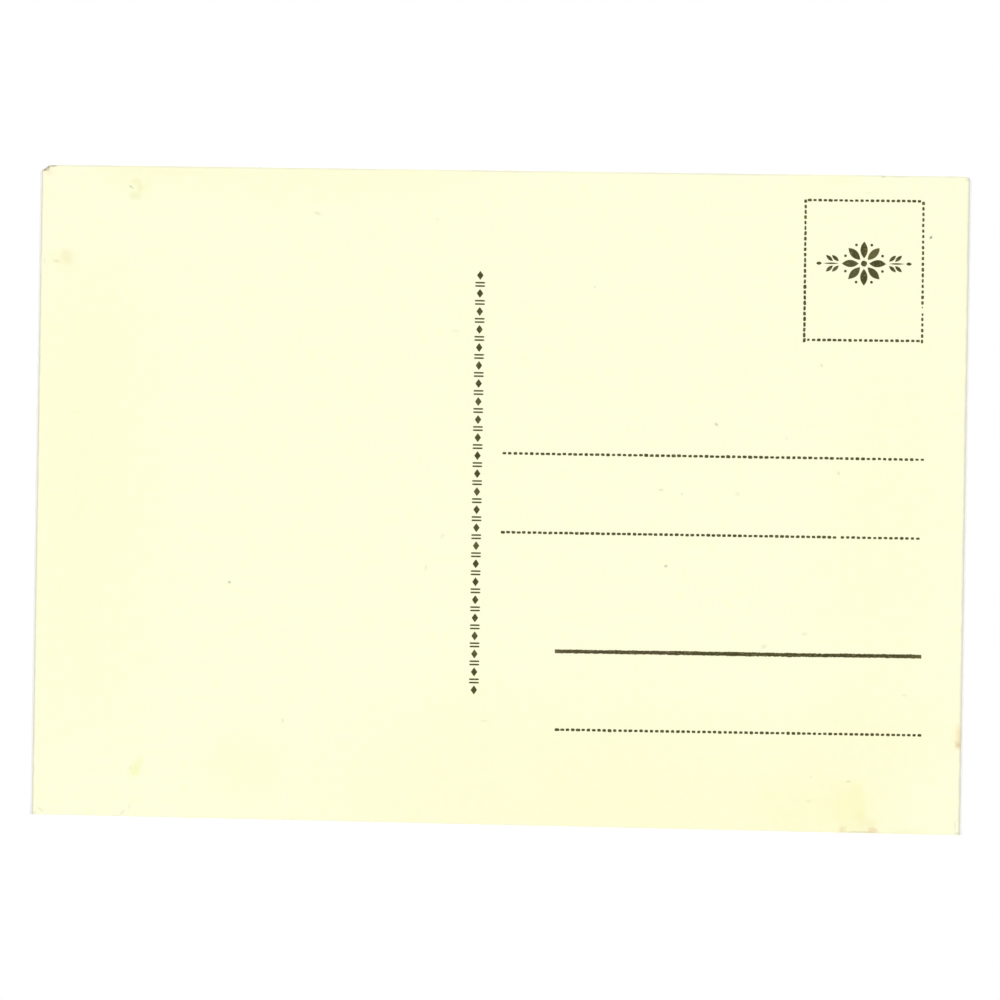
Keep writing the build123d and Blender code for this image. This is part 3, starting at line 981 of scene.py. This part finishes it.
# Stamp box ornament
# A rosette between two leaf sprays, a stock ornament of the printer's, in the middle of the stamp box.
# Petals, leaves and beads stand apart, as the cut lines between them keep the paper bare.
eye_radius = 0.50 * mm
petal_count = 8
petal_start = 0.80 * mm
petal_length = 2.75 * mm
petal_width = 1.20 * mm
bead_ring_radius = 3.20 * mm
bead_radius = 0.23 * mm
spray_gap = 0.45 * mm
stem_length = 2.50 * mm
stem_width = 0.26 * mm
leaf_length = 1.50 * mm
leaf_width = 0.60 * mm
leaf_angle = np.radians(42)
leaf_step = 0.95 * mm
leaf_clearance = 0.20 * mm
bud_length = 0.95 * mm
bud_width = 0.55 * mm
leaf_powers = (1.0, 2.0)
disc_powers = (1.0, 1.0)
ornament_unevenness = 0.01


def headings(angles):
    """Steps of length 1 at the angles given."""
    return np.stack([np.cos(angles), np.sin(angles)], axis=-1)


petal_angles = np.arange(petal_count) * 2 * np.pi / petal_count
bead_angles = petal_angles + np.pi / petal_count
petal_middles = (petal_start + petal_length / 2) * headings(petal_angles)
bead_middles = bead_ring_radius * headings(bead_angles)
spray_foot = petal_start + petal_length + spray_gap
leaf_feet = spray_foot + leaf_step * np.array((0, 0, 1, 1))
leaf_sides = np.array((-1, 1, -1, 1))
leaf_bases = np.stack([leaf_feet, leaf_sides * (stem_width / 2 + leaf_clearance)], axis=-1)
leaf_middles = leaf_bases + leaf_length / 2 * headings(leaf_sides * leaf_angle)
stem_middle = np.array(((spray_foot + stem_length / 2, 0.0),))
bud_middle = np.array(((spray_foot + stem_length + leaf_clearance + bud_length / 2, 0.0),))
ornament_marks = (
    (np.zeros((1, 2)), 0.0, 2 * eye_radius, 2 * eye_radius, disc_powers),
    (petal_middles, petal_angles, petal_length, petal_width, leaf_powers),
    (bead_middles, 0.0, 2 * bead_radius, 2 * bead_radius, disc_powers),
    (stem_middle, 0.0, stem_length, stem_width, leaf_powers),
    (-stem_middle, 0.0, stem_length, stem_width, leaf_powers),
    (leaf_middles, leaf_sides * leaf_angle, leaf_length, leaf_width, leaf_powers),
    (-leaf_middles, leaf_sides * leaf_angle, leaf_length, leaf_width, leaf_powers),
    (bud_middle, 0.0, bud_length, bud_width, leaf_powers),
    (-bud_middle, 0.0, bud_length, bud_width, leaf_powers),
)
turn_cosine = np.cos(stamp_box_turn)
turn_sine = np.sin(stamp_box_turn)
askew = np.array(((turn_cosine, turn_sine), (-turn_sine, turn_cosine)))
ornament_low, ornament_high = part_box("stamp_ornament")
ornament_middle = (np.array(ornament_low.xy) + np.array(ornament_high.xy)) / 2
ornament_rings = cast_rings(ornament_marks, ornament_unevenness) @ askew + ornament_middle
ink_films("stamp_rosette", ornament_rings, dash_load(len(ornament_rings)), "stamp_ornament")

# Table, light and camera
# The card lies on a white table. Most light falls straight down, and two weaker lamps stand at its left and
# right. The camera looks down through a long lens, turned a little, as the card lay when it was copied.
table_gap = 0.02 * mm
table_half_width = 6.0
table_white = (0.97, 0.97, 0.97, 1.0)
table_bright_white = (0.99, 0.99, 0.99, 1.0)
table_grain_size = 40.0
table_roughness = 0.9
surround_white = (1.0, 1.0, 1.0, 1.0)
side_lamp_tilt = np.radians(45)
surround_strength = 0.10
view_turn = np.radians(0.9)
view_middle = np.array((-0.1598, -0.2082)) * mm
view_width = 159.413 * mm
lens_length = 400.0
sensor_width = 36.0
farthest_view = 50.0

# Each lamp: name, tilt to the side, strength, width of its disc
lamps = (
    ("top_lamp", 0.0, 1.50, 20),
    ("left_lamp", -side_lamp_tilt, 1.00, 25),
    ("right_lamp", side_lamp_tilt, 1.00, 25),
)

table_finish, table_tree, table_shader = new_finish("white_table")
table_grain = cloud(table_tree, card_point(table_tree), table_grain_size)
table_colour = tinted(table_tree, table_grain, table_white, table_bright_white, "MIX")
table_tree.links.new(table_colour, table_shader["Base Color"])
table_shader["Roughness"].default_value = table_roughness
table_shader["Specular IOR Level"].default_value = 0.0
table_corners = np.array(((-1, -1), (1, -1), (1, 1), (-1, 1))) * table_half_width
table_points = np.concatenate([table_corners, np.full((4, 1), -table_gap)], axis=1)
table = new_piece("white_table", table_points, [[0, 1, 2, 3]], table_finish)

for name, tilt, strength, width in lamps:
    lamp = bpy.data.objects.new(name, bpy.data.lights.new(name, "SUN"))
    lamp.data.energy = strength
    lamp.data.angle = np.radians(width)
    lamp.rotation_euler = (0.0, tilt, 0.0)
    bpy.context.scene.collection.objects.link(lamp)

surround = bpy.data.worlds.new("white_surround")
surround.use_nodes = True
bpy.context.scene.world = surround
sky_tree = surround.node_tree
seen = node(sky_tree, "LightPath")
seen_directly = maths(sky_tree, "MAXIMUM", seen["Is Camera Ray"], seen["Is Glossy Ray"])
seen_at_all = maths(sky_tree, "MAXIMUM", seen_directly, seen["Is Transmission Ray"])
surround_light = node(sky_tree, "MapRange", {0: seen_at_all, 3: surround_strength, 4: 1.0})[0]
sky_shader = sky_tree.nodes["Background"].inputs
sky_shader["Color"].default_value = surround_white
sky_tree.links.new(surround_light, sky_shader["Strength"])

camera = bpy.data.objects.new("camera", bpy.data.cameras.new("camera"))
camera.data.lens = lens_length
camera.data.sensor_width = sensor_width
camera.data.clip_end = farthest_view
camera.location = (*view_middle, paper_top + view_width * lens_length / sensor_width)
camera.rotation_euler = (0.0, 0.0, view_turn)
bpy.context.scene.collection.objects.link(camera)
bpy.context.scene.camera = camera
bpy.context.scene.view_settings.view_transform = "Standard"
